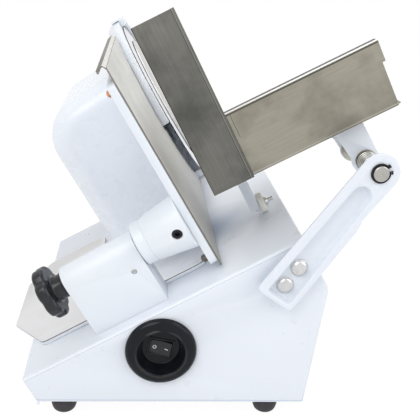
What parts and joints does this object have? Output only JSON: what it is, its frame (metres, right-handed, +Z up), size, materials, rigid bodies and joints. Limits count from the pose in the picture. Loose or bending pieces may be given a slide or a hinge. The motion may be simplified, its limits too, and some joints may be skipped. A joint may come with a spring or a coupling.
{
  "type": "electric meat slicer",
  "caption": "Gravity-feed electric meat slicer with a round blade, an adjustable gauge plate, a sliding food carriage on a guide shaft and a sloped sheet base.",
  "frame": {"origin": "middle of the slicer's bounding box, on the surface that its rubber feet stand on", "axes": "+Z up; +Y along the guide shaft, away from the side panel with the switch; +X up the slope of the deck, from the thickness knob towards the guide shaft"},
  "size_m": [0.3592, 0.4512, 0.3837],
  "materials": {
    "white_paint": "white stoved paint, slightly glossy",
    "stainless": "brushed stainless steel",
    "dark_stainless": "brushed stainless steel, darker",
    "bright_steel": "ground and polished steel",
    "zinc_steel": "zinc plated steel",
    "brass": "turned brass",
    "white_cast": "white painted cast aluminium",
    "black_plastic": "moulded black plastic",
    "black_rubber": "black rubber",
    "white_plastic": "moulded white plastic"
  },
  "bodies": {
    "base": {"base_housing": "white_paint", "blade_frame": "white_cast", "blade_guard": "white_cast", "bottom_plate": "zinc_steel", "cable_gland": "black_plastic", "far_arm_bolt_1": "bright_steel", "far_arm_bolt_2": "bright_steel", "far_nut_plate": "zinc_steel", "far_shaft_clip": "black_plastic", "far_spring": "zinc_steel", "far_spring_washer": "zinc_steel", "far_support_arm": "white_paint", "front_blade_bearing": "zinc_steel", "guide_shaft": "bright_steel", "housing_screw": "zinc_steel", "knob_housing": "white_cast", "motor_body": "zinc_steel", "motor_cover": "white_plastic", "near_arm_bolt_1": "bright_steel", "near_arm_bolt_2": "bright_steel", "near_nut_plate": "zinc_steel", "near_shaft_clip": "black_plastic", "near_spring": "zinc_steel", "near_spring_washer": "zinc_steel", "near_support_arm": "white_paint", "rear_blade_bearing": "zinc_steel", "receiving_tray": "stainless", "rubber_foot_1": "black_rubber", "rubber_foot_2": "black_rubber", "rubber_foot_3": "black_rubber", "rubber_foot_4": "black_rubber", "switch_bezel": "black_rubber", "switch_body": "black_plastic"},
    "rocker": {"rocker_button": "black_plastic"},
    "knob": {"thickness_knob": "black_plastic", "lead_screw": "zinc_steel"},
    "gauge": {"gauge_plate": "stainless", "gauge_backing": "white_cast", "gauge_boss": "white_cast", "boss_set_screw": "black_plastic", "adjusting_rod": "bright_steel", "upper_gauge_screw": "brass", "lower_gauge_screw": "brass"},
    "blade_unit": {"blade": "bright_steel", "blade_cover": "stainless", "blade_bolt": "bright_steel", "blade_shaft": "bright_steel", "worm_wheel": "brass"},
    "worm": {"motor_worm": "bright_steel"},
    "slider": {"near_bush": "brass", "far_bush": "brass"},
    "carriage": {"carriage_fence": "dark_stainless", "carriage_trough": "stainless", "carriage_bracket": "white_paint", "roller_leg": "white_paint", "roller_pin": "zinc_steel", "bracket_screw": "bright_steel", "leg_screw": "bright_steel"},
    "roller": {"roller_bearing": "bright_steel"}
  },
  "joints": [
    {"name": "carriage_slide", "type": "slide", "parent": "base", "child": "slider", "axis": [0, 1, 0], "range_m": [0, 0.238]},
    {"name": "carriage_lift", "type": "hinge", "parent": "slider", "child": "carriage", "pos_m": [0.15763, -0.1535, 0.25593], "axis": [0, 1, 0], "range_deg": [0, 50]},
    {"name": "roller_spin", "type": "hinge", "parent": "carriage", "child": "roller", "pos_m": [0.07553, -0.1094, 0.18905], "axis": [0.8746, 0, 0.4848], "range_deg": [-1241, 0]},
    {"name": "gauge_slide", "type": "slide", "parent": "base", "child": "gauge", "axis": [0.8508, 0, 0.5255], "range_m": [0, 0.0085]},
    {"name": "knob_turn", "type": "hinge", "parent": "base", "child": "knob", "pos_m": [-0.11521, -0.1809, 0.12716], "axis": [0.8508, 0, 0.5255], "range_deg": [-1532, 2]},
    {"name": "rocker_tilt", "type": "hinge", "parent": "base", "child": "rocker", "pos_m": [-0.02624, -0.2041, 0.0735], "axis": [0.1908, 0, 0.9816], "range_deg": [0, 14]},
    {"name": "blade_spin", "type": "hinge", "parent": "base", "child": "blade_unit", "pos_m": [-0.02102, 0.1146, 0.25116], "axis": [0.8508, 0, 0.5255], "continuous": true},
    {"name": "motor_spin", "type": "hinge", "parent": "base", "child": "worm", "pos_m": [-0.05098, 0.1146, 0.19786], "axis": [0, 1, 0], "continuous": true}
  ],
  "couplings": [
    {"joint": "roller_spin", "follows": "carriage_slide", "rad_per_m": -90.909},
    {"joint": "knob_turn", "follows": "gauge_slide", "rad_per_m": -3141.6},
    {"joint": "motor_spin", "follows": "blade_spin", "ratio": 10}
  ]
}
